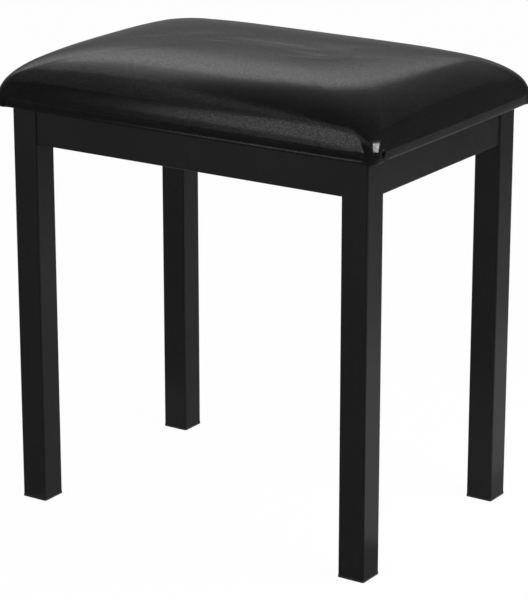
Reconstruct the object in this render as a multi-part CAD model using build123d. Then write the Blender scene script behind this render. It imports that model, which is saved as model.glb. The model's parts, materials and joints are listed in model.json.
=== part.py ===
from build123d import *
import os
from math import cos, hypot, radians, sin, sqrt

# Keyboard bench, in millimetres. The origin is on the floor under the middle of the seat,
# +X runs along the long side to the right, +Y to the back and +Z up.

# Square-tube frame
frame_length = 431.0  # X, across the outer faces of the legs
frame_depth = 293.0  # Y, across the outer faces of the legs
frame_height = 432.5  # floor to the top ends of legs and rails
leg_side = 30.0
rail_height = 38.0
rail_thickness = 20.0
rail_setback = 1.8  # rail face behind the leg face
tube_wall = 1.5
tube_corner_radius = 2.0

# Foot plugs
foot_flange_thickness = 2.0
foot_flange_proud = 0.4  # beyond the leg faces
foot_insert_length = 16.0
foot_insert_wall = 2.0
foot_fin_count = 3
foot_fin_height = 1.4  # stands out from the insert
foot_fin_thickness = 1.2
foot_fin_clearance = 0.1  # fin tip to the leg's bore

# Corner brackets of folded sheet
bracket_gauge = 2.0
bracket_bend_radius = 1.5
bracket_arm = 66.0  # along each rail
bracket_lip = 15.0  # square end of the plate before it runs across the corner
bracket_leg_gap = 4.0
bracket_seat_gap = 2.0  # plate below the seat
bracket_flange_rise = 8.0  # flange end above the rail's lower side
bracket_bolt_edge = 16.0  # bolt centre from the flange end

# Bolts and nuts
bolt_diameter = 6.0
bolt_head_height = 4.0
hexagon_across_flats = 10.0  # bolt heads and weld nuts
bolt_tip_reach = 1.0  # beyond the weld nut
bolt_hole_clearance = 0.3
thread_clearance = 0.1
weld_nut_height = 5.0
insert_diameter = 9.0  # threaded inserts in the seat board
insert_length = 10.0
insert_clearance = 0.15
seat_bolt_inset = 34.0  # from the inner faces of the rails
seat_bolt_cover = 2.0  # bolt tip below the board's top side

# Weld beads
leg_weld_size = 3.0
bracket_weld_length = 40.0
weld_swell = 0.58  # middle of the bead's face, as a share of its size

# Seat
seat_overhang = 14.0  # widest level of the seat beyond the outer faces of the legs
seat_corner_radius = 16.0
board_thickness = 12.0
board_clearance = 0.3
vinyl_thickness = 1.0
lip_tuck = 5.5  # lower lip inside the widest level
crease_tuck = 1.0  # crease above the board edge, inside the widest level
bulge_height = 6.0  # widest level above the crease
roll_width = 110.0  # half width of the shoulder's curve, in from the widest level
roll_height = 42.0  # half height of the shoulder's curve, up from the widest level
roll_power = 2.8  # 2 is an ellipse, more is squarer
roll_turn = 75.0  # degrees of the curve before the flat crown
roll_steps = 8
corner_swell = 30.0  # growth of the corner radius up the shoulder
corner_limit = 0.8  # largest corner radius, as a share of the level's half depth
foam_ease = 0.3  # between foam and cover
foam_skirt = 8.0  # drawn down over the board edge
flap_overlap = 12.0  # cover flap and dust cover
dust_cover_thickness = 0.6
dust_cover_leg_gap = 2.0
dust_cover_bolt_gap = 10.0  # cut corner from the axis of the seat bolt

# Places worked out from the sizes above
half_length = frame_length / 2
half_depth = frame_depth / 2
leg_inner_x = half_length - leg_side
leg_inner_y = half_depth - leg_side
rail_inner_x = half_length - rail_setback - rail_thickness
rail_inner_y = half_depth - rail_setback - rail_thickness
rail_bottom = frame_height - rail_height
rail_middle = frame_height - rail_height / 2
bracket_top = frame_height - bracket_seat_gap
bracket_under = bracket_top - bracket_gauge
bracket_foot = rail_bottom + bracket_flange_rise
bracket_start_x = leg_inner_x - bracket_leg_gap
bracket_start_y = leg_inner_y - bracket_leg_gap
bracket_end_x = bracket_start_x - bracket_arm
bracket_end_y = bracket_start_y - bracket_arm
rail_bolt_places = (bracket_start_x - bracket_bolt_edge, bracket_end_x + bracket_bolt_edge)
seat_bolt_x = rail_inner_x - seat_bolt_inset
seat_bolt_y = rail_inner_y - seat_bolt_inset
seat_length = frame_length + 2 * seat_overhang
seat_depth = frame_depth + 2 * seat_overhang
board_bottom = frame_height + vinyl_thickness
board_top = board_bottom + board_thickness
dust_half_x = leg_inner_x - dust_cover_leg_gap
dust_half_y = leg_inner_y - dust_cover_leg_gap
dust_corner_cut = dust_half_x - seat_bolt_x + dust_half_y - seat_bolt_y + dust_cover_bolt_gap * sqrt(2)

CORNERS = {
    "front_left": (-1, -1),
    "front_right": (1, -1),
    "back_left": (-1, 1),
    "back_right": (1, 1),
}


def at_corner(piece, side_x, side_y):
    """Carry a piece made for the back right corner to another corner."""
    if side_x < 0:
        piece = mirror(piece, about=Plane.YZ)
    if side_y < 0:
        piece = mirror(piece, about=Plane.XZ)
    return piece


def at_all_corners(pieces):
    """A group of separate solids: the given pieces in each of the four corners."""
    return Compound(children=[at_corner(p, *sides) for sides in CORNERS.values() for p in pieces])


def tube_section(width, height):
    """Cross-section of a rectangular steel tube with rounded outer corners."""
    bore = Rectangle(width - 2 * tube_wall, height - 2 * tube_wall)
    return RectangleRounded(width, height, tube_corner_radius) - bore


def leg():
    """Square tube that stands on its foot plug."""
    section = tube_section(leg_side, leg_side)
    place = Pos(half_length - leg_side / 2, half_depth - leg_side / 2, foot_flange_thickness)
    return place * extrude(section, frame_height - foot_flange_thickness)


def foot_plug():
    """Moulded plug: a thin flange under the leg and a hollow insert with grip fins."""
    flange_side = leg_side + 2 * foot_flange_proud
    flange_radius = tube_corner_radius + foot_flange_proud
    flange = extrude(RectangleRounded(flange_side, flange_side, flange_radius), foot_flange_thickness)
    fin_side = leg_side - 2 * tube_wall - 2 * foot_fin_clearance
    core_side = fin_side - 2 * foot_fin_height
    hollow_side = core_side - 2 * foot_insert_wall
    hollow = Rectangle(hollow_side, hollow_side)
    core_section = Rectangle(core_side, core_side) - hollow
    fin_section = Rectangle(fin_side, fin_side) - hollow
    plug = flange + Pos(Z=foot_flange_thickness) * extrude(core_section, foot_insert_length)
    fin_pitch = foot_insert_length / foot_fin_count
    for fin in range(1, foot_fin_count + 1):
        fin_base = foot_flange_thickness + fin * fin_pitch - foot_fin_thickness
        plug += Pos(Z=fin_base) * extrude(fin_section, foot_fin_thickness)
    return Pos(half_length - leg_side / 2, half_depth - leg_side / 2) * plug


def bolt_hole():
    """Round cutter of bolt clearance, through any sheet at Z 0."""
    return Cylinder(bolt_diameter / 2 + bolt_hole_clearance, 4 * bracket_gauge)


def long_rail():
    """Back rail: a flat tube between two legs, with bolt holes in its inner wall."""
    section = Plane.YZ * tube_section(rail_thickness, rail_height)
    rail = extrude(section, leg_inner_x, both=True)
    rail = Pos(0, rail_inner_y + rail_thickness / 2, rail_middle) * rail
    for x in rail_bolt_places:
        for side in (-1, 1):
            rail -= Pos(side * x, rail_inner_y, rail_middle) * Rot(X=90) * bolt_hole()
    return rail


def short_rail():
    """Right rail: a flat tube between two legs."""
    section = Plane.XZ * tube_section(rail_thickness, rail_height)
    return Pos(rail_inner_x + rail_thickness / 2, 0, rail_middle) * extrude(section, leg_inner_y, both=True)


def corner_bracket():
    """Folded plate across a corner: one flange bolted to the long rail, one welded to the short rail."""
    plan = Polyline(
        (bracket_start_x, rail_inner_y),
        (bracket_end_x, rail_inner_y),
        (bracket_end_x, rail_inner_y - bracket_lip),
        (rail_inner_x - bracket_lip, bracket_end_y),
        (rail_inner_x, bracket_end_y),
        (rail_inner_x, bracket_start_y),
        (bracket_start_x, bracket_start_y),
        close=True,
    )
    flange_height = bracket_top - bracket_foot
    block = Pos(Z=bracket_foot) * extrude(make_face(plan), flange_height)
    top_edges = block.faces().sort_by(Axis.Z)[-1].edges()
    folds = [top_edges.filter_by(Axis.X).sort_by(Axis.Y)[-1], top_edges.filter_by(Axis.Y).sort_by(Axis.X)[-1]]
    block = fillet(folds, bracket_bend_radius + bracket_gauge)
    room = Box(
        2 * rail_inner_x,
        2 * rail_inner_y,
        flange_height - bracket_gauge,
        align=(Align.MAX, Align.MAX, Align.MIN),
    )
    room_top = room.faces().sort_by(Axis.Z)[-1].edges()
    folds = [room_top.filter_by(Axis.X).sort_by(Axis.Y)[-1], room_top.filter_by(Axis.Y).sort_by(Axis.X)[-1]]
    room = fillet(folds, bracket_bend_radius)
    bracket = block - Pos(rail_inner_x - bracket_gauge, rail_inner_y - bracket_gauge, bracket_foot) * room
    for x in rail_bolt_places:
        bracket -= Pos(x, rail_inner_y, rail_middle) * Rot(X=90) * bolt_hole()
    return bracket - Pos(seat_bolt_x, seat_bolt_y, bracket_top) * bolt_hole()


def hexagon(height):
    """Hexagonal bar from Z 0 up, as bolt heads and nuts are made of."""
    return extrude(RegularPolygon(hexagon_across_flats / 2, 6, major_radius=False), height)


def bolt(length):
    """Hexagon-head bolt: bearing face at Z 0, shank up, head down."""
    shank = extrude(Circle(bolt_diameter / 2), length)
    return shank + Pos(Z=-bolt_head_height) * hexagon(bolt_head_height)


def weld_nut():
    """Hexagon nut that lies on Z 0."""
    return hexagon(weld_nut_height) - extrude(Circle(bolt_diameter / 2 + thread_clearance), weld_nut_height)


def threaded_insert():
    """Threaded sleeve that stands on Z 0."""
    return extrude(Circle(insert_diameter / 2) - Circle(bolt_diameter / 2 + thread_clearance), insert_length)


def rail_fasteners():
    """Bolts of the rail joints at the back right corner, and the nuts welded inside the rail."""
    bolt_length = bracket_gauge + tube_wall + weld_nut_height + bolt_tip_reach
    bolts = []
    nuts = []
    for x in rail_bolt_places:
        seat = Pos(x, rail_inner_y, rail_middle) * Rot(X=-90)
        bolts.append(seat * Pos(Z=-bracket_gauge) * bolt(bolt_length))
        nuts.append(seat * Pos(Z=tube_wall) * weld_nut())
    return bolts, nuts


def seat_fasteners():
    """Bolt and threaded insert that hold the seat at the back right corner."""
    bolt_length = board_top - seat_bolt_cover - bracket_under
    place = Pos(seat_bolt_x, seat_bolt_y)
    return place * Pos(Z=bracket_under) * bolt(bolt_length), place * Pos(Z=board_bottom) * threaded_insert()


def weld_bead(size, length):
    """Fillet weld in an inside corner: the corner runs up +Z and the bead lies towards -X and -Y."""
    swell = -size * weld_swell
    face = ThreePointArc((-size, 0), (swell, swell), (0, -size))
    sides = Polyline((0, -size), (0, 0), (-size, 0))
    return extrude(make_face([face, sides]), length)


def corner_welds():
    """Beads at the back right corner: short rail to leg, and bracket to short rail at end and foot."""
    leg_bead = weld_bead(leg_weld_size, rail_height - 2 * tube_corner_radius)
    leg_bead = Pos(rail_inner_x, leg_inner_y, rail_bottom + tube_corner_radius) * leg_bead
    end_length = bracket_under - bracket_bend_radius - bracket_foot
    end_bead = Pos(rail_inner_x, bracket_end_y, bracket_foot) * weld_bead(bracket_gauge, end_length)
    foot_bead = Rot(X=90) * weld_bead(bracket_gauge, bracket_weld_length)
    foot_start = (bracket_start_y + bracket_end_y + bracket_weld_length) / 2
    foot_bead = Pos(rail_inner_x, foot_start, bracket_foot) * foot_bead
    return [leg_bead, end_bead, foot_bead]


def seat_outline(inset, corner_radius, height):
    """One level outline of the seat: a rectangle with rounded corners."""
    return Pos(Z=height) * RectangleRounded(seat_length - 2 * inset, seat_depth - 2 * inset, corner_radius)


def edge_outline(inset, height):
    """Level outline at or below the crease, with corners that keep one centre."""
    return seat_outline(inset, seat_corner_radius - inset, height)


def shoulder_outline(inset, rise, height):
    """Level outline above the crease, with corners that grow rounder up the shoulder."""
    corner_radius = seat_corner_radius + corner_swell * rise / roll_height
    corner_radius = min(corner_radius, corner_limit * (seat_depth / 2 - inset))
    return seat_outline(inset, corner_radius, height)


def crowned_form(skin):
    """Upper part of the seat, from the crease to the crown, drawn in by a skin thickness."""
    widest = board_top + bulge_height
    levels = [edge_outline(crease_tuck + skin, board_top)]
    for step in range(roll_steps + 1):
        angle = radians(roll_turn * step / roll_steps)
        inset = roll_width * (1 - cos(angle) ** (2 / roll_power))
        rise = roll_height * sin(angle) ** (2 / roll_power)
        lean = cos(angle) ** (2 - 2 / roll_power) / roll_width
        lift = sin(angle) ** (2 - 2 / roll_power) / roll_height
        inset += skin * lean / hypot(lean, lift)
        height = widest + rise - skin * lift / hypot(lean, lift)
        levels.append(shoulder_outline(inset, rise, height))
    return loft(levels, ruled=True)


def edge_form(skin, bottom):
    """Lower part of the seat round the board edge: it leans in from the crease down to the lip."""
    lean = (lip_tuck - crease_tuck) / board_thickness
    bottom_tuck = crease_tuck + lean * (board_top - bottom)
    levels = [edge_outline(crease_tuck + skin, board_top), edge_outline(bottom_tuck + skin, bottom)]
    return loft(levels, ruled=True)


def lip_form():
    """Turn of the cover under the board's lower edge."""
    levels = [edge_outline(lip_tuck, board_bottom), edge_outline(lip_tuck + vinyl_thickness, frame_height)]
    return loft(levels, ruled=True)


def seat_board():
    """Plywood board with a hole for each threaded insert."""
    board = extrude(edge_outline(lip_tuck + vinyl_thickness + board_clearance, board_bottom), board_thickness)
    insert_hole = Cylinder(insert_diameter / 2 + insert_clearance, 4 * board_thickness)
    for side_x, side_y in CORNERS.values():
        board -= Pos(side_x * seat_bolt_x, side_y * seat_bolt_y, board_top) * insert_hole
    return board


def foam_pad():
    """Crowned foam that lies on the board, with a skirt drawn down over the board's edge."""
    skin = vinyl_thickness + foam_ease
    skirt = edge_form(skin, board_top - foam_skirt)
    board_inset = lip_tuck + vinyl_thickness
    pocket = extrude(edge_outline(board_inset, board_top - foam_skirt), foam_skirt)
    return crowned_form(skin) + (skirt - pocket)


def vinyl_cover():
    """Skin round foam and board, turned in under the board to a flap that leaves the middle open."""
    outside = crowned_form(0) + edge_form(0, board_bottom) + lip_form()
    inside = crowned_form(vinyl_thickness) + edge_form(vinyl_thickness, board_bottom)
    opening_x = 2 * (dust_half_x - flap_overlap)
    opening_y = 2 * (dust_half_y - flap_overlap)
    return outside - inside - Pos(Z=frame_height) * Box(opening_x, opening_y, 4 * vinyl_thickness)


def dust_cover():
    """Thin sheet of cloth under the flap, inside the frame, with its corners cut off."""
    sheet = Rectangle(2 * dust_half_x, 2 * dust_half_y)
    sheet = chamfer(sheet.vertices(), dust_corner_cut)
    return Pos(Z=frame_height - dust_cover_thickness) * extrude(sheet, dust_cover_thickness)


def all_pieces():
    """Every node of the bench by name."""
    pieces = {}
    for corner, sides in CORNERS.items():
        pieces["leg_" + corner] = at_corner(leg(), *sides)
        pieces["foot_plug_" + corner] = at_corner(foot_plug(), *sides)
        pieces["corner_bracket_" + corner] = at_corner(corner_bracket(), *sides)
    pieces["long_rail_back"] = long_rail()
    pieces["long_rail_front"] = mirror(long_rail(), about=Plane.XZ)
    pieces["short_rail_right"] = short_rail()
    pieces["short_rail_left"] = mirror(short_rail(), about=Plane.YZ)
    rail_bolts, rail_weld_nuts = rail_fasteners()
    pieces["rail_bolts"] = at_all_corners(rail_bolts)
    pieces["rail_weld_nuts"] = at_all_corners(rail_weld_nuts)
    seat_bolt, seat_insert = seat_fasteners()
    pieces["seat_bolts"] = at_all_corners([seat_bolt])
    pieces["seat_inserts"] = at_all_corners([seat_insert])
    pieces["frame_welds"] = at_all_corners(corner_welds())
    pieces["seat_board"] = seat_board()
    pieces["foam_pad"] = foam_pad()
    pieces["vinyl_cover"] = vinyl_cover()
    pieces["dust_cover"] = dust_cover()
    return pieces


os.makedirs("parts", exist_ok=True)
for name, piece in all_pieces().items():
    export_step(piece, f"parts/{name}.step")
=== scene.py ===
import json
from math import cos, pi, radians, sin

import bmesh
import bpy
import numpy as np
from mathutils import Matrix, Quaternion, Vector


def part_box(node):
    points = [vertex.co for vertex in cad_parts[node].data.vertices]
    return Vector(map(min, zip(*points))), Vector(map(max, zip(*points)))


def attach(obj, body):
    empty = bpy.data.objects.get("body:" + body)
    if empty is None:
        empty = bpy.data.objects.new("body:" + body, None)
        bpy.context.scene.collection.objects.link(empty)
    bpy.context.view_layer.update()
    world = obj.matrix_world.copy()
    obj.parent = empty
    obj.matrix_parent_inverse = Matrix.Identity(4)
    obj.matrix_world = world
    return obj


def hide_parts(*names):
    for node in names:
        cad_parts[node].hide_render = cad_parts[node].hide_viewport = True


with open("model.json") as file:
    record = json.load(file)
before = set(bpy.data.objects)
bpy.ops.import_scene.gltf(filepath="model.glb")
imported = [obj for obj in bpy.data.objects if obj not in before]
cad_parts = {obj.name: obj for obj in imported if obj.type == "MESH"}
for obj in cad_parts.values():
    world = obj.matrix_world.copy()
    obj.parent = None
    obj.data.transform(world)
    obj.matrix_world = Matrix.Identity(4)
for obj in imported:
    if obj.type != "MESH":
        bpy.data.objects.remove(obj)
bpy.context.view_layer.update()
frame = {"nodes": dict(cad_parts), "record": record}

# A padded keyboard bench on a square-tube frame. Lengths are in metres, +X along the long side,
# +Y to the back, +Z up, the floor at Z 0.

scene = bpy.context.scene
scene.view_settings.view_transform = "Standard"

# Levels and reaches of the seat, read from the solids
cover_low, cover_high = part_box("vinyl_cover")
board_low, board_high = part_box("seat_board")
dust_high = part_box("dust_cover")[1]
LIP_LEVEL = cover_low.z
CREASE_LEVEL = board_high.z
CROWN_LEVEL = cover_high.z
SEAT_REACH_X = cover_high.x
SEAT_REACH_Y = cover_high.y
BOARD_INSET = cover_high.x - board_high.x
SEAT_MIDDLE = Vector((0, 0, (LIP_LEVEL + CROWN_LEVEL) / 2))

# Form of the upholstery
BULGE_RISE = -0.0008  # widest level above the board's upper face
CROWN_RISE = 0.0498  # crown above the widest level, before the cover is blown up
WALL_LEAN = 0.12  # slope of the wall where it rises from the widest level
CROWN_DOME = 0.001  # middle of the crown above its rim
SHOULDER_WIDTH = 0.122
SIDE_POWER = 2.8  # roundness of the shoulder: 2 is an ellipse, more is squarer
CORNER_POWER = 2.45
CORNER_REACH = 0.045  # how far along a side the thinner corner is felt
CORNER_RADIUS = 0.012
LEAST_CORNER_RADIUS = 0.004  # where the cover is drawn in beside the board
CORNER_SWELL = 0.024  # growth of the corner radius up the shoulder
CORNER_LIMIT = 0.8  # largest corner radius, as a share of the level's half depth
SIDE_BOW = 0.0012  # middle of a side beyond its ends
SHOULDER_BOW = 0.001  # growth of that bow up the shoulder
CREASE_DROP = 0.0023  # crease below the board's upper face
FLAP_OVERLAP = 0.012  # cover flap above the dust cover
FLAP_GAP = 0.0001  # flap edge below the board
FLAP_MIDDLE = 0.55  # place of one more ring, as a share of the flap's inset
BOARD_MARGIN = 0.0002  # folds stay this far off the board
SHOULDER_STEPS = (0.6, 2, 5, 9.5, 15, 22, 30, 38, 46, 54, 61, 67, 72, 76, 80, 83.5, 87, 90)
# The board's edge from the widest level down: height above the board, inset on the long and short sides
EDGE_STEPS = (
    (-0.0008, 0.0, 0.0),
    (-0.0013, 0.0002, 0.0),
    (-0.0018, 0.0007, 0.0001),
    (-0.0022, 0.0014, 0.0001),
    (-0.0025, 0.0022, 0.0002),
    (-0.0029, 0.0029, 0.0002),
    (-0.0037, 0.0032, 0.0003),
    (-0.0056, 0.0036, 0.0005),
    (-0.0076, 0.0040, 0.0008),
    (-0.0090, 0.0039, 0.0011),
    (-0.0107, 0.0035, 0.0017),
    (-0.0117, 0.0038, 0.0025),
    (-0.0123, 0.0050, 0.0038),
)
LIP_STEPS = ((0.0002, 0.0067), (0.0, 0.0088))  # height above the lip and inset, all round

# Net of the upholstery, in points
ARC_POINTS = 16  # on half a corner
FOLD_POINTS = 20  # beside a corner, where the cover is folded
FOLD_RUN = 0.0130  # length of that stretch
LONG_POINTS = 48
SHORT_POINTS = 32
END_CROWDING = 1.2  # how much closer the points lie near the corners

# Folded corners of the cover, measured along the edge from the middle of a corner
TONGUE_TO_SHORT_SIDE = (0.0148, 0.0195)  # at the tongue's head and at its foot
TONGUE_TO_LONG_SIDE = (0.0105, 0.0068)
TONGUE_BLEND = 0.0030  # half width of the tongue's soft edge on the long side
TONGUE_CRISP_EDGE = (-0.0014, 0.0002)  # where its edge on the short side begins and ends
TONGUE_PROUD = 0.0004
TONGUE_FOOT_PROUD = 0.0018  # more at its foot
SLIT_WIDTH = 0.0026
SLIT_SHIFT = 0.7  # middle of the slit beyond the tongue's edge, as a share of its width
SLIT_DEPTH = 0.0042
NOTCH_WIDTH = 0.0012
NOTCH_DEPTH = 0.0024
NOTCH_RISE = 0.004
NOTCH_FADE = 0.4  # share of that rise from which the notch fades out
CORNER_LIFT = 0.0022  # the cover is drawn up this much at the middle of a corner
CORNER_LIFT_RUN = 0.016  # along the edge
CORNER_LIFT_TOP = 0.030  # above the board
PLEAT_HEAD = (-0.0030, 0.0010)  # pleats fade out between these heights above the board
PLEAT_FOOT = (-0.0005, 0.0003)  # and set in between these heights above the lip
PLEAT_CENTRE = 0.03  # pleats are pressed towards a point this far in from both sides of a corner

# Blown-up cover
PRESSURE = 4.0
SETTLING_FRAMES = 20
SETTLING_CAP = 0.003  # no point travels further than this
HOLD_MARGIN = 0.0004  # the board holds all that lies this far below the widest level
CLOTH_QUALITY = 6
CLOTH_STIFFNESS = 400
CLOTH_SHEAR = 120
CLOTH_BENDING = 20
TINY = 1e-9  # keeps a length that is divided by off zero

# Underside
STAPLE_WIDTH = 0.010
STAPLE_WIRE = 0.0006
STAPLE_PITCH = 0.026
STAPLE_LEG = 0.0012  # what is modelled of a leg, in the cloth and the board
STAPLE_BEND = (0.4, 0.9)  # rounded corner, as shares of the wire and of half the width
STAPLE_DROP = 0.0004  # below the board
STAPLE_INSET = 0.008  # from the cloth's edge
STAPLE_END_GAP = 0.006  # from the cloth's cut corner
DUST_COVER_GAP = 0.0003  # cloth below the board at its edge
DUST_COVER_SAG = 0.0012
DUST_COVER_CUT = 0.0617
DUST_COVER_STEP = 0.006
RIPPLE_DEPTH = 0.0005  # of the cloth between its staples
RIPPLE_REACH = 0.010  # how far in from the edge the ripples are felt

# Camera, at the viewpoint fitted to the leg edges in the photograph
CAMERA_TURN = 33.47  # degrees from the front towards the right
CAMERA_RISE = 17.46
CAMERA_DISTANCE = 2.82
CAMERA_LENS = 160.0  # millimetres
CAMERA_SENSOR = 36  # millimetres
CAMERA_SIGHT = 50  # farthest that the camera sees
CAMERA_DROP = 0.0242  # aim below the middle of the bench, as it looks in the picture

# Studio: a white floor, and glowing cards that only reflections see: painted reflections
FLOOR_REACH = 20.0
FLOOR_WHITENESS = 0.98  # share of plain white in what the camera sees of the floor
WORLD_LIGHT = 0.35  # light from all round, for everything but the eye
FLAG_DISTANCE = 3.3
FLAG_HEIGHT = 1.9
FLAG_STEP = 0.01  # height between cards that overlap
FLAG_BEARINGS = 9  # points along the arc of a card on the floor
FLOOR_FLAG_LEVEL = 0.003
FLOOR_CARD_LEVEL = 0.002
BACKDROP_LEVELS = (1.15, 2.45)  # the glowing backdrop, a painted reflection, brightens between these heights
BACKDROP_GREYS = (0.21, 1.5)


class Signal:
    """A shader socket that takes part in Python arithmetic. Each operator adds one Math node."""

    def __init__(self, finish, socket):
        self.finish = finish
        self.socket = socket

    def maths(self, operation, *values):
        """One Math node on values or signals."""
        return self.finish.node("ShaderNodeMath", {"operation": operation}, dict(enumerate(values)))

    def __add__(self, other):
        return self.maths("ADD", self, other)

    def __sub__(self, other):
        return self.maths("SUBTRACT", self, other)

    def __rsub__(self, other):
        return self.maths("SUBTRACT", other, self)

    def __mul__(self, other):
        return self.maths("MULTIPLY", self, other)

    __radd__ = __add__
    __rmul__ = __mul__


class Finish:
    """The node tree of one surface, or of the world."""

    def __init__(self, owner):
        owner.use_nodes = True
        self.owner = owner
        self.tree = owner.node_tree
        self.tree.nodes.clear()

    def node(self, kind, settings=None, inputs=None, output=0):
        """Any node: its type, its settings, the values or links of its sockets, and the output wanted."""
        made = self.tree.nodes.new(kind)
        for name, value in (settings or {}).items():
            setattr(made, name, value)
        for name, value in (inputs or {}).items():
            if isinstance(value, Signal):
                self.tree.links.new(value.socket, made.inputs[name])
            else:
                made.inputs[name].default_value = value
        return Signal(self, made.outputs[output]) if made.outputs else None

    def place(self, stretch=(1, 1, 1)):
        """Coordinates of the piece itself, in metres, stretched by axis."""
        there = self.node("ShaderNodeTexCoord", output="Object")
        return self.node("ShaderNodeMapping", inputs={"Vector": there, "Scale": stretch})

    def noise(self, place, scale, detail=2.0, roughness=0.5):
        """Cloudy variation from 0 to 1, with so many clouds to a metre."""
        inputs = {"Vector": place, "Scale": scale, "Detail": detail, "Roughness": roughness}
        return self.node("ShaderNodeTexNoise", inputs=inputs)

    def cells(self, place, scale, feature="DISTANCE_TO_EDGE"):
        """Packed cells, so many to a metre: the distance from their edges, or from their middles."""
        inputs = {"Vector": place, "Scale": scale}
        return self.node("ShaderNodeTexVoronoi", {"feature": feature}, inputs)

    def smooth(self, value, low, high):
        """0 below the low value, 1 above the high one, and a soft rise between."""
        settings = {"interpolation_type": "SMOOTHSTEP"}
        inputs = {"Value": value, "From Min": low, "From Max": high}
        return self.node("ShaderNodeMapRange", settings, inputs)

    def colour(self, share, low, high):
        """A colour between two others."""
        return self.node("ShaderNodeMix", {"data_type": "RGBA"}, {0: share, 6: low, 7: high}, output=2)

    def bump(self, height, strength, distance):
        """Relief of the surface, for its Normal socket."""
        inputs = {"Height": height, "Strength": strength, "Distance": distance}
        return self.node("ShaderNodeBump", inputs=inputs)

    def glow(self, colour):
        """End the tree in a plain glow of one colour."""
        shader = self.node("ShaderNodeEmission", inputs={"Color": colour, "Strength": 1.0})
        self.node("ShaderNodeOutputMaterial", inputs={"Surface": shader})
        return self.owner

    def surface(self, **sockets):
        """End the tree in a surface, with its sockets named with underscores for spaces."""
        inputs = {name.replace("_", " "): value for name, value in sockets.items()}
        shader = self.node("ShaderNodeBsdfPrincipled", inputs=inputs)
        self.node("ShaderNodeOutputMaterial", inputs={"Surface": shader})
        return self.owner


def grey(level):
    """A neutral colour."""
    return (level, level, level, 1)


def new_finish(name):
    """An empty material by name."""
    return Finish(bpy.data.materials.new(name))


def seat_vinyl():
    """Black leather-look vinyl: fine pebbled grain with glossier tops, a little uneven."""
    paint = new_finish("seat_vinyl")
    place = paint.place()
    drift = paint.noise(place, 260, 3)
    pebbles = paint.smooth(paint.cells(place, 420), 0.0, 0.34)
    fine = paint.noise(place, 1500, 3, 0.6)
    grain = pebbles * 0.8 + fine * 0.2 + drift * 0.3
    broad = paint.noise(place, 14, 4)
    return paint.surface(
        Base_Color=paint.colour(pebbles, grey(0.0026), grey(0.0042)),
        Roughness=0.11 + broad * 0.05 + (1 - pebbles) * 0.04,
        Specular_IOR_Level=0.155,
        Coat_Weight=pebbles * 0.35,
        Coat_Roughness=0.12,
        Normal=paint.bump(grain, 0.08, 0.0003),
    )


def frame_powder_coat():
    """Black powder coat: satin, with a faint orange peel."""
    paint = new_finish("frame_powder_coat")
    place = paint.place()
    peel = paint.noise(place, 420, 2)
    dust = paint.noise(place, 2600, 2)
    broad = paint.noise(place, 9, 3)
    return paint.surface(
        Base_Color=paint.colour(broad, grey(0.0022), grey(0.0036)),
        Roughness=0.20 + broad * 0.08 + dust * 0.05,
        Specular_IOR_Level=0.42,
        Normal=paint.bump(peel + dust * 0.4, 0.16, 0.0002),
    )


def foot_plastic():
    """Moulded black plastic with a fine eroded texture."""
    paint = new_finish("foot_plastic")
    place = paint.place()
    erosion = paint.noise(place, 1800, 4, 0.65)
    scuffs = paint.smooth(paint.noise(place, 130, 5, 0.7), 0.56, 0.72)
    return paint.surface(
        Base_Color=paint.colour(scuffs, grey(0.006), grey(0.016)),
        Roughness=0.52 + erosion * 0.16,
        Specular_IOR_Level=0.3,
        Normal=paint.bump(erosion, 0.25, 0.0002),
    )


def zinc_plate():
    """Bright zinc plating with faint crystal patches."""
    paint = new_finish("zinc_plate")
    place = paint.place()
    patches = paint.cells(place, 500, "F1")
    clouds = paint.noise(place, 160, 3)
    return paint.surface(
        Base_Color=paint.colour(clouds, (0.46, 0.46, 0.44, 1), (0.64, 0.64, 0.62, 1)),
        Metallic=1.0,
        Roughness=0.26 + patches * 0.14 + clouds * 0.12,
        Normal=paint.bump(clouds, 0.1, 0.0002),
    )


def seat_plywood():
    """Plywood: long streaks of grain along the board and pale pores."""
    paint = new_finish("seat_plywood")
    streaks = paint.noise(paint.place((5, 90, 90)), 3, 5, 0.6)
    pores = paint.noise(paint.place((60, 900, 900)), 2, 3)
    tone = streaks * 0.75 + pores * 0.25
    return paint.surface(
        Base_Color=paint.colour(tone, (0.36, 0.22, 0.11, 1), (0.68, 0.49, 0.30, 1)),
        Roughness=0.62 + pores * 0.2,
        Normal=paint.bump(tone, 0.2, 0.0003),
    )


def dust_cloth():
    """Black spun-bonded cloth: matted fibres pressed in a small dot pattern."""
    paint = new_finish("dust_cloth")
    place = paint.place()
    fibres = paint.noise(paint.place((1, 0.35, 1)), 2300, 4, 0.7)
    dots = paint.smooth(paint.cells(place, 480, "F1"), 0.18, 0.34)
    weave = fibres * 0.6 + dots * 0.4
    return paint.surface(
        Base_Color=paint.colour(weave, grey(0.008), grey(0.028)),
        Roughness=0.82 + fibres * 0.15,
        Specular_IOR_Level=0.2,
        Normal=paint.bump(weave, 0.35, 0.0003),
    )


def new_piece(name, points, faces, finish):
    """A smooth mesh piece of the bench, in the frame's own place."""
    mesh = bpy.data.meshes.new(name)
    mesh.from_pydata([tuple(p) for p in points], [], faces)
    mesh.polygons.foreach_set("use_smooth", [True] * len(mesh.polygons))
    mesh.materials.append(finish)
    piece = bpy.data.objects.new(name, mesh)
    scene.collection.objects.link(piece)
    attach(piece, "root")
    return piece


def crowded(count):
    """Shares from -1 to 1 along a straight side, closer together near its ends."""
    even = np.linspace(-1, 1, count + 1)
    return np.tanh(END_CROWDING * even) / np.tanh(END_CROWDING)


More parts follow.
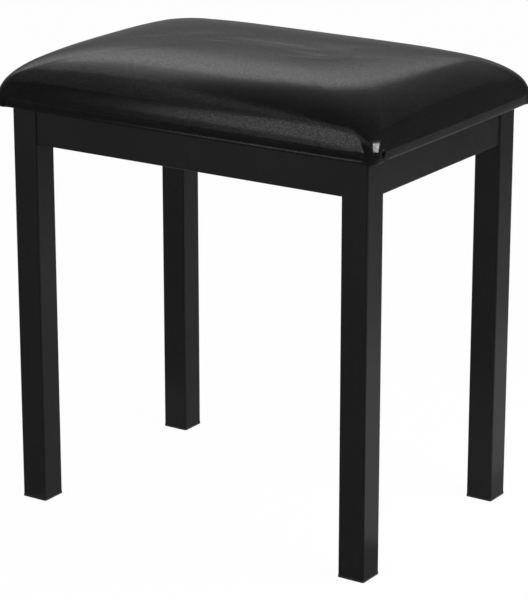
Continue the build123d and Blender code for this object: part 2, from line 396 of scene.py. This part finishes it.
def seat_side(reach_along, reach_out, radius, bow, count):
    """One side of a level outline, from the middle of one corner to the middle of the next.

    The side runs along +X at -Y. Beside the points come their distances from the nearer corner's middle.
    """
    run = reach_along - radius
    turn = np.linspace(-pi / 4, 0, ARC_POINTS + 1)
    first = np.column_stack([-run + radius * np.sin(turn), -reach_out + radius * (1 - np.cos(turn))])
    folds = min(FOLD_RUN, run / 4)
    beside = np.linspace(0, folds, FOLD_POINTS + 1)[:-1]
    along = np.concatenate([beside - run, crowded(count) * (run - folds), (run - beside)[::-1]])
    middle = np.column_stack([along, -reach_out - bow * (1 - (along / run) ** 2) * run / reach_along])
    last = first[::-1] * (-1, 1)
    points = np.vstack([first[:-1], middle, last[1:]])
    walked = np.concatenate([[0], np.cumsum(np.hypot(*np.diff(points, axis=0).T))])
    return points, np.minimum(walked, walked[-1] - walked)


def seat_level(inset, radius, bow):
    """Level outline as four sides, each without its last point, with the distances from the corners.

    Distances are positive on the long sides and negative on the short ones.
    """
    reach_x = SEAT_REACH_X - inset
    reach_y = SEAT_REACH_Y - inset
    front, front_walk = seat_side(reach_x, reach_y, radius, bow, LONG_POINTS)
    right, right_walk = seat_side(reach_y, reach_x, radius, bow, SHORT_POINTS)
    right = np.column_stack([-right[:, 1], right[:, 0]])
    points = np.vstack([front[:-1], right[:-1], -front[:-1], -right[:-1]])
    walks = np.concatenate([front_walk[:-1], -right_walk[:-1]] * 2)
    return points, walks


def edge_ring(height, creased, smooth):
    """Ring beside the board: creased on the long sides, smooth over corners and short sides."""
    outlines = []
    for inset in (creased, smooth):
        outline, walks = seat_level(inset, max(CORNER_RADIUS - inset, LEAST_CORNER_RADIUS), SIDE_BOW)
        outlines.append(outline)
    share = np.where(walks >= 0, tongue_share(walks, fall_at(height)), 1)[:, None]
    outline = outlines[0] + (outlines[1] - outlines[0]) * share
    return np.column_stack([outline, np.full(len(outline), height)]), walks


def shoulder_ring(step):
    """Ring of the shoulder at a step of its roll, thinner towards the corners."""
    rings = []
    for power in (SIDE_POWER, CORNER_POWER):
        share = sin(radians(step)) ** (2 / power)
        inset = SHOULDER_WIDTH * (1 - max(cos(radians(step)), 0) ** (2 / power))
        inset += WALL_LEAN * CROWN_RISE * share * (1 - share) ** 2
        radius = min(CORNER_RADIUS + CORNER_SWELL * share, CORNER_LIMIT * (SEAT_REACH_Y - inset))
        outline, walks = seat_level(inset, radius, SIDE_BOW + SHOULDER_BOW * share)
        height = CREASE_LEVEL + BULGE_RISE + CROWN_RISE * share
        rings.append(np.column_stack([outline, np.full(len(outline), height)]))
    corner = np.exp(-(walks / CORNER_REACH) ** 2)[:, None]
    return rings[0] + (rings[1] - rings[0]) * corner, walks


def seat_rings():
    """Rings of the cover, from the flap's edge under the board up to the crown's rim."""
    flap = SEAT_REACH_X - (dust_high.x - FLAP_OVERLAP)
    under = [(board_low.z - FLAP_GAP, flap), (LIP_LEVEL, flap), (LIP_LEVEL, flap * FLAP_MIDDLE)]
    under += [(LIP_LEVEL + rise, inset) for rise, inset in LIP_STEPS[::-1]]
    rings = [edge_ring(height, inset, inset) for height, inset in under]
    for rise, creased, smooth in EDGE_STEPS[::-1]:
        rings.append(edge_ring(CREASE_LEVEL + rise, creased, smooth))
    return rings + [shoulder_ring(step) for step in SHOULDER_STEPS]


def seat_net():
    """Points, faces and distances from the corners: the cover's rings and a grid over its crown."""
    rings, walks = zip(*seat_rings())
    around = len(rings[0])
    faces = []
    for ring in range(len(rings) - 1):
        for k in range(around):
            low = ring * around + k
            beside = ring * around + (k + 1) % around
            faces.append((low, beside, beside + around, low + around))
    corners = 2 * (ARC_POINTS + FOLD_POINTS)
    long_count = LONG_POINTS + corners
    short_count = SHORT_POINTS + corners
    inner, grid = crown_grid(rings[-1], (len(rings) - 1) * around, long_count, short_count)
    for row in range(short_count):
        for k in range(long_count):
            faces.append((grid[row, k], grid[row, k + 1], grid[row + 1, k + 1], grid[row + 1, k]))
    points = np.vstack(list(rings) + [inner])
    walks = np.concatenate(list(walks) + [np.full(len(inner), 1.0)])
    return points, [tuple(int(i) for i in face) for face in faces], walks


def crown_grid(rim, rim_start, long_count, short_count):
    """Fill the crown's rim with a gently domed grid that runs from side to opposite side."""
    around = len(rim)
    front = list(range(long_count + 1))
    right = list(range(long_count, long_count + short_count + 1))
    back = list(range(2 * long_count + short_count, long_count + short_count - 1, -1))
    left = [k % around for k in range(around, 2 * long_count + short_count - 1, -1)]
    grid = np.zeros((short_count + 1, long_count + 1), int)
    grid[0, :] = front
    grid[-1, :] = back
    grid[:, 0] = left
    grid[:, -1] = right
    grid += rim_start
    inner = []
    for row in range(1, short_count):
        v = row / short_count
        for k in range(1, long_count):
            u = k / long_count
            across = (1 - u) * rim[left[row]] + u * rim[right[row]]
            along = (1 - v) * rim[front[k]] + v * rim[back[k]]
            ends = (1 - u) * (1 - v) * rim[front[0]] + u * (1 - v) * rim[front[-1]]
            ends += (1 - u) * v * rim[back[0]] + u * v * rim[back[-1]]
            # 16 brings the product to 1 in the middle
            dome = CROWN_DOME * 16 * u * (1 - u) * v * (1 - v)
            grid[row, k] = rim_start + around + len(inner)
            inner.append(across + along - ends + (0, 0, dome))
    return np.array(inner), grid


def blown_up(piece, held):
    """Points of the cover after its foam has pushed it out, while the board holds its edge."""
    start = np.array([v.co for v in piece.data.vertices])
    group = piece.vertex_groups.new(name="held by the board")
    group.add([int(i) for i in held], 1.0, "REPLACE")
    cloth = piece.modifiers.new("settling", "CLOTH")
    cloth.point_cache.frame_end = SETTLING_FRAMES
    cloth.settings.quality = CLOTH_QUALITY
    cloth.settings.tension_stiffness = CLOTH_STIFFNESS
    cloth.settings.compression_stiffness = CLOTH_STIFFNESS
    cloth.settings.shear_stiffness = CLOTH_SHEAR
    cloth.settings.bending_stiffness = CLOTH_BENDING
    cloth.settings.use_pressure = True
    cloth.settings.uniform_pressure_force = PRESSURE
    cloth.settings.vertex_group_mass = group.name
    cloth.settings.effector_weights.gravity = 0
    for step in range(1, SETTLING_FRAMES + 1):
        scene.frame_set(step)
    settled = piece.evaluated_get(bpy.context.evaluated_depsgraph_get())
    moved = np.array([v.co for v in settled.data.vertices]) - start
    piece.modifiers.remove(cloth)
    scene.frame_set(1)
    reach = np.linalg.norm(moved, axis=1, keepdims=True)
    return start + moved * (np.tanh(reach / SETTLING_CAP) * SETTLING_CAP / np.maximum(reach, TINY))


def soft_step(value, low, high):
    """0 below the low value, 1 above the high one, and a soft rise between."""
    share = np.clip((value - low) / (high - low), 0, 1)
    return share * share * (3 - 2 * share)


def fall_at(height):
    """How far down the board's edge a height lies: 0 at the crease, 1 at the lip."""
    crease = CREASE_LEVEL - CREASE_DROP
    return np.clip((crease - height) / (crease - LIP_LEVEL), 0, 1)


def past_tongue(walks, fall):
    """Distance beyond the edge of a corner's tongue."""
    to_long_side = np.interp(fall, (0, 1), TONGUE_TO_LONG_SIDE)
    to_short_side = np.interp(fall, (0, 1), TONGUE_TO_SHORT_SIDE)
    return np.abs(walks) - np.where(walks >= 0, to_long_side, to_short_side)


def tongue_share(walks, fall):
    """1 on a corner's tongue and 0 beyond it: soft-edged on the long side, crisp on the short side."""
    past = past_tongue(walks, fall)
    soft = 1 - soft_step(past, -TONGUE_BLEND, TONGUE_BLEND)
    crisp = 1 - soft_step(past, *TONGUE_CRISP_EDGE)
    return np.where(walks >= 0, soft, crisp)


def fold_corners(points, walks):
    """Press the pleats in: a tongue over each corner with a slit on one side and a notch on the other.

    The slit is on the short side of a front corner and on the back of a back corner.
    """
    height = points[:, 2]
    fall = fall_at(height)
    walks = np.where(points[:, 1] > 0, -walks, walks)
    strength = soft_step(height - LIP_LEVEL, *PLEAT_FOOT)
    strength = strength * (1 - soft_step(height - CREASE_LEVEL, *PLEAT_HEAD))
    centre = (SEAT_REACH_X - PLEAT_CENTRE, SEAT_REACH_Y - PLEAT_CENTRE)
    out = points[:, :2] - np.sign(points[:, :2]) * centre
    out /= np.maximum(np.linalg.norm(out, axis=1, keepdims=True), TINY)
    past = past_tongue(walks, fall)
    slit = np.exp(-(((past - SLIT_WIDTH * SLIT_SHIFT) / SLIT_WIDTH) ** 2)) * SLIT_DEPTH
    notch = np.exp(-((past / NOTCH_WIDTH) ** 2)) * NOTCH_DEPTH
    notch *= 1 - soft_step(height, LIP_LEVEL + NOTCH_RISE * NOTCH_FADE, LIP_LEVEL + NOTCH_RISE)
    inset = np.min((SEAT_REACH_X, SEAT_REACH_Y) - np.abs(points[:, :2]), axis=1)
    room = np.maximum(BOARD_INSET - BOARD_MARGIN - inset, 0)
    press = np.minimum(np.where(walks >= 0, notch, slit), room)
    proud = tongue_share(walks, fall) * (TONGUE_PROUD + TONGUE_FOOT_PROUD * fall)
    folded = points.copy()
    folded[:, :2] += out * ((proud - press) * strength)[:, None]
    drawn = soft_step(height, LIP_LEVEL, CREASE_LEVEL)
    drawn = drawn * (1 - soft_step(height, CREASE_LEVEL, CREASE_LEVEL + CORNER_LIFT_TOP))
    folded[:, 2] += CORNER_LIFT * np.exp(-((walks / CORNER_LIFT_RUN) ** 2)) * drawn
    return folded


def seat_cushion(finish):
    """The padded seat: vinyl drawn over foam and board and turned in under the board's edge."""
    points, faces, walks = seat_net()
    cushion = new_piece("seat_cushion", points, faces, finish)
    held = np.flatnonzero(points[:, 2] <= CREASE_LEVEL + BULGE_RISE - HOLD_MARGIN)
    settled = blown_up(cushion, held)
    folded = fold_corners(settled, walks)
    cushion.data.vertices.foreach_set("co", folded.astype(np.float32).ravel())
    cushion.data.update()
    rounding = cushion.modifiers.new("rounding", "SUBSURF")
    rounding.levels = 1
    rounding.render_levels = 1
    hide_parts("vinyl_cover", "foam_pad")
    return cushion


def dust_sheet(finish):
    """Cloth under the board: a rectangle with cut corners that sags a little between its staples."""
    level = dust_high.z
    columns = round(2 * dust_high.x / DUST_COVER_STEP)
    rows = round(2 * dust_high.y / DUST_COVER_STEP)
    sheet = bmesh.new()
    bmesh.ops.create_grid(sheet, x_segments=columns, y_segments=rows, size=1)
    for v in sheet.verts:
        v.co = Vector((v.co.x * dust_high.x, v.co.y * dust_high.y, level))
    for side_x in (-1, 1):
        for side_y in (-1, 1):
            cut = Vector((side_x * (dust_high.x - DUST_COVER_CUT), side_y * dust_high.y, level))
            outward = Vector((side_x, side_y, 0))
            everything = sheet.verts[:] + sheet.edges[:] + sheet.faces[:]
            bmesh.ops.bisect_plane(sheet, geom=everything, plane_co=cut, plane_no=outward, clear_outer=True)
    points = np.array([v.co for v in sheet.verts])
    sheet.verts.index_update()
    faces = [tuple(v.index for v in face.verts)[::-1] for face in sheet.faces]
    sheet.free()
    share = (1 - (points[:, 0] / dust_high.x) ** 2) * (1 - (points[:, 1] / dust_high.y) ** 2)
    pull = 0.5 + 0.5 * np.cos(2 * pi * points[:, 0] / STAPLE_PITCH)
    near_edge = np.exp(-(dust_high.y - np.abs(points[:, 1])) / RIPPLE_REACH)
    sag = DUST_COVER_SAG * np.sqrt(np.clip(share, 0, 1))
    points[:, 2] -= DUST_COVER_GAP + sag + RIPPLE_DEPTH * pull * near_edge
    cloth = new_piece("dust_cover_cloth", points, faces, finish)
    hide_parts("dust_cover")
    return cloth


def staple(places, faces, middle, direction):
    """Add one staple's crown: a short bar of square wire with bent ends, pressed into the cloth."""
    across = Vector((-direction.y, direction.x, 0))
    half = STAPLE_WIDTH / 2
    bend_rise, bend_run = STAPLE_BEND
    profile = [
        (-half, STAPLE_LEG),
        (-half, -STAPLE_WIRE * bend_rise),
        (-half * bend_run, -STAPLE_WIRE),
        (half * bend_run, -STAPLE_WIRE),
        (half, -STAPLE_WIRE * bend_rise),
        (half, STAPLE_LEG),
    ]
    start = len(places)
    for along, rise in profile:
        for side, lift in ((-1, 0), (1, 0), (1, -1), (-1, -1)):
            places.append(middle + direction * along + across * (side * STAPLE_WIRE / 2)
                          + Vector((0, 0, rise + lift * STAPLE_WIRE)))
    for part in range(len(profile) - 1):
        for k in range(4):
            a = start + part * 4 + k
            b = start + part * 4 + (k + 1) % 4
            faces.append((a, b, b + 4, a + 4))
    faces.append((start + 3, start + 2, start + 1, start))
    end = start + 4 * (len(profile) - 1)
    faces.append((end, end + 1, end + 2, end + 3))


def staples(finish):
    """A row of staples along each edge of the dust cover."""
    places = []
    faces = []
    level = dust_high.z - STAPLE_DROP
    for along, out, turn in ((dust_high.x, dust_high.y, 0), (dust_high.y, dust_high.x, 1)):
        run = along - DUST_COVER_CUT - STAPLE_END_GAP
        count = int(2 * run / STAPLE_PITCH)
        for k in range(count + 1):
            walked = -run + 2 * run * k / count
            for side in (-1, 1):
                spot = (walked, side * (out - STAPLE_INSET))
                middle = Vector((spot[turn], spot[1 - turn], level))
                direction = Vector((1 - turn, turn, 0))
                staple(places, faces, middle, direction)
    return new_piece("staples", places, faces, finish)


def aimed(thing, azimuth, elevation, distance, target):
    """Stand a thing off from a target, in degrees from the front and above the floor, and face it there."""
    turn = radians(azimuth)
    rise = radians(elevation)
    back = Vector((sin(turn) * cos(rise), -cos(turn) * cos(rise), sin(rise)))
    thing.location = target + back * distance
    thing.rotation_mode = "QUATERNION"
    thing.rotation_quaternion = (-back).to_track_quat("-Z", "Y")
    scene.collection.objects.link(thing)
    return thing


def soft_box(name, azimuth, elevation, distance, size, watts, tilt=0):
    """A rectangular light that faces the seat, tilted by some degrees about its own axis."""
    light = bpy.data.lights.new(name, "AREA")
    light.shape = "RECTANGLE"
    light.size, light.size_y = size
    light.energy = watts
    lamp = aimed(bpy.data.objects.new(name, light), azimuth, elevation, distance, SEAT_MIDDLE)
    lamp.rotation_quaternion @= Quaternion((0, 0, 1), radians(tilt))


def card(name, corners, finish):
    """A card out of the picture, given by its corners, for the reflections alone."""
    mesh = bpy.data.meshes.new(name)
    mesh.from_pydata(corners, [], [tuple(range(len(corners)))])
    mesh.materials.append(finish)
    flat = bpy.data.objects.new(name, mesh)
    scene.collection.objects.link(flat)
    flat.visible_camera = False
    flat.visible_diffuse = False
    flat.visible_shadow = False


def bearing(turn, distance, height):
    """A place at a bearing, in degrees from the front towards the right."""
    return Vector((sin(radians(turn)) * distance, -cos(radians(turn)) * distance, height))


def wall_flag(name, first, last, height, finish):
    """An upright card between two bearings."""
    low = [bearing(turn, FLAG_DISTANCE, 0) for turn in (first, last)]
    high = [bearing(turn, FLAG_DISTANCE, height) for turn in (last, first)]
    card(name, low + high, finish)


def floor_flag(name, first, last, near, far, finish):
    """A card that lies on the floor between two bearings and two distances from the bench."""
    turns = np.linspace(first, last, FLAG_BEARINGS)
    inner = [bearing(turn, near, FLOOR_FLAG_LEVEL) for turn in turns]
    outer = [bearing(turn, far, FLOOR_FLAG_LEVEL) for turn in turns[::-1]]
    card(name, inner + outer, finish)


def over_flag(name, corners, height, finish):
    """A card that lies level between four corners."""
    card(name, [Vector((x, y, height)) for x, y in corners], finish)


def glowing_reflection_card(name, low, high):
    """A plain glowing card that only reflections see, a little uneven: a painted reflection, not lit by the
    lamps.
    """
    paint = new_finish(name)
    paper = paint.noise(paint.place(), 30, 3)
    return paint.glow(paint.colour(paper, grey(low), grey(high)))


def graded_reflection_glow():
    """A glowing backdrop behind the bench that only reflections see, brighter towards its top: a painted
    reflection, not lit by the lamps.
    """
    paint = new_finish("graded_reflection_glow")
    height = paint.node("ShaderNodeSeparateXYZ", inputs={"Vector": paint.place()}, output="Z")
    low, high = BACKDROP_LEVELS
    share = paint.node("ShaderNodeMapRange", inputs={"Value": height, "From Min": low, "From Max": high})
    darkest, brightest = BACKDROP_GREYS
    return paint.glow(paint.colour(share, grey(darkest), grey(brightest)))


def seen_directly(paint):
    """1 where the camera sees a thing, also by reflection or through glass."""
    path = paint.node("ShaderNodeLightPath", output="Is Camera Ray")
    outputs = path.socket.node.outputs
    glossy = Signal(paint, outputs["Is Glossy Ray"])
    through = Signal(paint, outputs["Is Transmission Ray"])
    return path.maths("MAXIMUM", path.maths("MAXIMUM", path, glossy), through)


def studio_floor():
    """Pale seamless floor that looks white to the camera and keeps a faint shadow."""
    paint = new_finish("studio_floor")
    paper = paint.noise(paint.place(), 40, 3)
    shade = paint.colour(paper, grey(0.80), grey(0.84))
    matt = {"Base Color": shade, "Roughness": 0.9, "Specular IOR Level": 0.0}
    lit = paint.node("ShaderNodeBsdfPrincipled", inputs=matt)
    white = paint.node("ShaderNodeEmission", inputs={"Color": grey(1.0), "Strength": 1.0})
    share = seen_directly(paint) * FLOOR_WHITENESS
    mixed = paint.node("ShaderNodeMixShader", inputs={0: share, 1: lit, 2: white})
    paint.node("ShaderNodeOutputMaterial", inputs={"Surface": mixed})
    mesh = bpy.data.meshes.new("floor")
    reach = FLOOR_REACH
    corners = [(-reach, -reach, 0), (reach, -reach, 0), (reach, reach, 0), (-reach, reach, 0)]
    mesh.from_pydata(corners, [], [(0, 1, 2, 3)])
    mesh.materials.append(paint.owner)
    floor = bpy.data.objects.new("floor", mesh)
    scene.collection.objects.link(floor)


def studio_world():
    """White surroundings for the eye, a plain level of light for everything else."""
    paint = Finish(bpy.data.worlds.new("studio"))
    strength = seen_directly(paint) * (1 - WORLD_LIGHT) + WORLD_LIGHT
    back = paint.node("ShaderNodeBackground", inputs={"Color": grey(1.0), "Strength": strength})
    paint.node("ShaderNodeOutputWorld", inputs={"Surface": back})
    scene.world = paint.owner


def camera():
    """The viewpoint of the photograph, aimed a little below the middle of the bench."""
    lens = bpy.data.cameras.new("camera")
    lens.sensor_width = CAMERA_SENSOR
    lens.lens = CAMERA_LENS
    lens.clip_end = CAMERA_SIGHT
    turn = radians(CAMERA_TURN)
    rise = radians(CAMERA_RISE)
    up = Vector((-sin(turn) * sin(rise), cos(turn) * sin(rise), cos(rise)))
    target = Vector((0, 0, CROWN_LEVEL / 2)) - up * CAMERA_DROP
    eye = bpy.data.objects.new("camera", lens)
    scene.camera = aimed(eye, CAMERA_TURN, CAMERA_RISE, CAMERA_DISTANCE, target)


def reflection_cards():
    """Glowing grey cards round, over and under the bench that paint the vinyl's dark and pale reflections;
    the darker card on the floor under the bench paints the floor's shade there.
    """
    # each card glows at a fixed grey: painted reflections, not lit by the lamps
    deep = glowing_reflection_card("deep_card", 0.12, 0.15)
    dark = glowing_reflection_card("dark_card", 0.21, 0.26)
    shaded = glowing_reflection_card("shaded_card", 0.32, 0.36)
    pale = glowing_reflection_card("pale_card", 0.52, 0.58)
    graded = graded_reflection_glow()
    wall_flag("flag_left", -112, -33.5, 2.9, dark)
    wall_flag("flag_front", -12, 84, 2.2, dark)
    wall_flag("flag_right", 82, 160, 2.2, deep)
    wall_flag("flag_back", 159, 199, 2.8, dark)
    wall_flag("backdrop_right", 198, 226, 2.6, graded)
    wall_flag("backdrop_left", 225, 252, 2.6, graded)
    over_flag("flag_over", [(-1.38, 1.78), (-0.73, -1.0), (2.6, -1.0), (1.5, 4.5)], FLAG_HEIGHT, dark)
    over_flag("flag_over_back", [(-1.26, 1.89), (1.5, 1.0), (1.5, 4.5), (-0.95, 3.75)],
              FLAG_HEIGHT - FLAG_STEP, dark)
    over_flag("flag_over_left", [(-1.9, 0.2), (-1.9, -1.9), (-1.02, -1.9), (-1.02, 0.2)],
              FLAG_HEIGHT - 2 * FLAG_STEP, pale)
    # painted shade: a darker glowing card on the floor under the bench, a paler one beside it
    over_flag("floor_card_under", [(-0.66, -0.66), (0.25, -0.66), (0.25, 0.9), (-0.66, 0.9)],
              FLOOR_CARD_LEVEL, shaded)
    over_flag("floor_card_beside", [(0.25, -0.66), (0.9, -0.66), (0.9, 0.9), (0.25, 0.9)],
              FLOOR_CARD_LEVEL, pale)
    # dark glowing cards on the floor: painted dark reflections of the floor round the bench
    floor_flag("flag_floor_front", -38, 10, 0.20, 3.0, dark)
    floor_flag("flag_floor_near", 8, 78, 0.20, 3.0, dark)
    floor_flag("flag_floor_left", -90, -38, 0.25, 4.0, dark)
    floor_flag("flag_floor_right", 76, 195, 0.82, 1.6, shaded)
    floor_flag("flag_floor_far", 76, 195, 1.6, 4.0, deep)


def studio_lights():
    """A compact key light on the right for the corner, and a tall front light for the long side."""
    soft_box("key_light", 96, 20, 1.58, (1.4, 0.40), 36, tilt=-30)
    soft_box("front_light", -23, 19, 2.8, (1.05, 2.0), 12)


def dress_solids(finishes):
    """Give each solid the finish of its slot."""
    for part in frame["record"]["subparts"]:
        if part["material_slot"] in finishes:
            materials = frame["nodes"][part["node"]].data.materials
            materials.clear()
            materials.append(finishes[part["material_slot"]])


finishes = {
    "frame_powder_coat": frame_powder_coat(),
    "foot_plastic": foot_plastic(),
    "zinc_plate": zinc_plate(),
    "seat_plywood": seat_plywood(),
    "seat_vinyl": seat_vinyl(),
    "dust_cloth": dust_cloth(),
}
dress_solids(finishes)
seat_cushion(finishes["seat_vinyl"])
dust_sheet(finishes["dust_cloth"])
staples(finishes["zinc_plate"])

camera()
studio_floor()
studio_world()
reflection_cards()
studio_lights()
